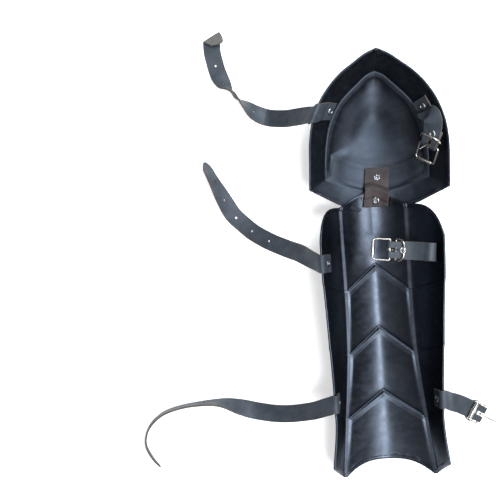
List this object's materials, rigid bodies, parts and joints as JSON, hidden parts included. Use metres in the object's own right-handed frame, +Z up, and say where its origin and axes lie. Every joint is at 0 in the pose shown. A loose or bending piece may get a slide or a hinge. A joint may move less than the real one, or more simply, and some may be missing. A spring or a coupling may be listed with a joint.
{
  "type": "greave with knee plate",
  "caption": "Black steel shin guard with a domed knee plate joined by a leather tab, hemmed edges, chevron lames, leather straps and open roller buckles, lying hollow side up.",
  "frame": {"origin": "middle of the bottom of the box that holds the greave with its straps as they lie, on the surface that it rests on", "axes": "+Y runs along the shin towards the knee, +Z up out of the hollow side, +X to the side of the open buckles"},
  "size_m": [0.4056, 0.526, 0.0722],
  "materials": {
    "steel": "satin black",
    "black_leather": "grained, worn edges",
    "brown_leather": "flesh side out",
    "nickel": "polished nickel",
    "rivet": "plain"
  },
  "bodies": {
    "greave": {"shin_plate": "steel", "knee_plate": "steel", "knee_tab": "brown_leather", "knee_tongue_strap": "black_leather", "upper_tongue_strap": "black_leather", "lower_tongue_strap": "black_leather", "knee_buckle_strap": "black_leather", "upper_buckle_strap": "black_leather", "lower_buckle_strap": "black_leather", "tab_rivet_knee": "rivet", "tab_rivet_shin": "rivet", "knee_strap_rivet": "rivet", "upper_strap_rivet": "rivet", "lower_strap_rivet": "rivet", "knee_buckle_strap_rivet": "rivet", "knee_fold_rivet": "rivet", "upper_buckle_strap_rivet": "rivet", "upper_fold_rivet": "rivet", "lower_buckle_strap_rivet": "rivet", "lower_fold_rivet": "rivet"},
    "knee_buckle_frame": {"knee_buckle_frame": "nickel"},
    "knee_buckle_roller": {"knee_buckle_roller": "nickel"},
    "knee_buckle_prong": {"knee_buckle_prong": "nickel"},
    "knee_keeper_ring": {"knee_keeper_ring": "nickel"},
    "upper_buckle_frame": {"upper_buckle_frame": "nickel"},
    "upper_buckle_roller": {"upper_buckle_roller": "nickel"},
    "upper_buckle_prong": {"upper_buckle_prong": "nickel"},
    "upper_keeper_ring": {"upper_keeper_ring": "nickel"},
    "lower_buckle_frame": {"lower_buckle_frame": "nickel"},
    "lower_buckle_roller": {"lower_buckle_roller": "nickel"},
    "lower_buckle_prong": {"lower_buckle_prong": "nickel"},
    "lower_keeper_ring": {"lower_keeper_ring": "nickel"}
  },
  "joints": [
    {"name": "knee_frame_hinge", "type": "hinge", "parent": "greave", "child": "knee_buckle_frame", "pos_m": [0.14094, 0.11075, 0.04528], "axis": [-0.7456, 0.4922, -0.4492], "range_deg": [-4, 50]},
    {"name": "knee_roller_spin", "type": "hinge", "parent": "knee_buckle_frame", "child": "knee_buckle_roller", "pos_m": [0.13673, 0.09533, 0.03538], "axis": [-0.7456, 0.4922, -0.4492], "continuous": true},
    {"name": "knee_prong_hinge", "type": "hinge", "parent": "greave", "child": "knee_buckle_prong", "pos_m": [0.14094, 0.11075, 0.04528], "axis": [-0.7456, 0.4922, -0.4492], "range_deg": [-12, 40]},
    {"name": "knee_keeper_hinge", "type": "hinge", "parent": "greave", "child": "knee_keeper_ring", "pos_m": [0.14295, 0.11629, 0.04802], "axis": [-0.7456, 0.4922, -0.4492], "range_deg": [-20, 12]},
    {"name": "upper_frame_hinge", "type": "hinge", "parent": "greave", "child": "upper_buckle_frame", "pos_m": [0.09059, -0.00251, 0.0511], "axis": [0.1066, 0.9943, 0], "range_deg": [-60, 35]},
    {"name": "upper_roller_spin", "type": "hinge", "parent": "upper_buckle_frame", "child": "upper_buckle_roller", "pos_m": [0.072, -0.00052, 0.04912], "axis": [0.1066, 0.9943, 0], "continuous": true},
    {"name": "upper_prong_hinge", "type": "hinge", "parent": "greave", "child": "upper_buckle_prong", "pos_m": [0.09059, -0.00251, 0.0511], "axis": [0.1066, 0.9943, 0], "range_deg": [-55, 10]},
    {"name": "upper_keeper_hinge", "type": "hinge", "parent": "greave", "child": "upper_keeper_ring", "pos_m": [0.09702, -0.0032, 0.05178], "axis": [0.1066, 0.9943, 0], "range_deg": [-30, 0]},
    {"name": "lower_frame_hinge", "type": "hinge", "parent": "greave", "child": "lower_buckle_frame", "pos_m": [0.18374, -0.1924, 0.03591], "axis": [-0.5124, -0.8587, 0.0019], "range_deg": [-86, 0]},
    {"name": "lower_roller_spin", "type": "hinge", "parent": "lower_buckle_frame", "child": "lower_buckle_roller", "pos_m": [0.17229, -0.18553, 0.04914], "axis": [-0.5124, -0.8587, 0.0019], "continuous": true},
    {"name": "lower_prong_hinge", "type": "hinge", "parent": "greave", "child": "lower_buckle_prong", "pos_m": [0.18374, -0.1924, 0.03591], "axis": [-0.5124, -0.8587, 0.0019], "range_deg": [-60, 36]},
    {"name": "lower_keeper_hinge", "type": "hinge", "parent": "greave", "child": "lower_keeper_ring", "pos_m": [0.17853, -0.18928, 0.03821], "axis": [-0.5124, -0.8587, 0.0019], "range_deg": [0, 60]}
  ]
}
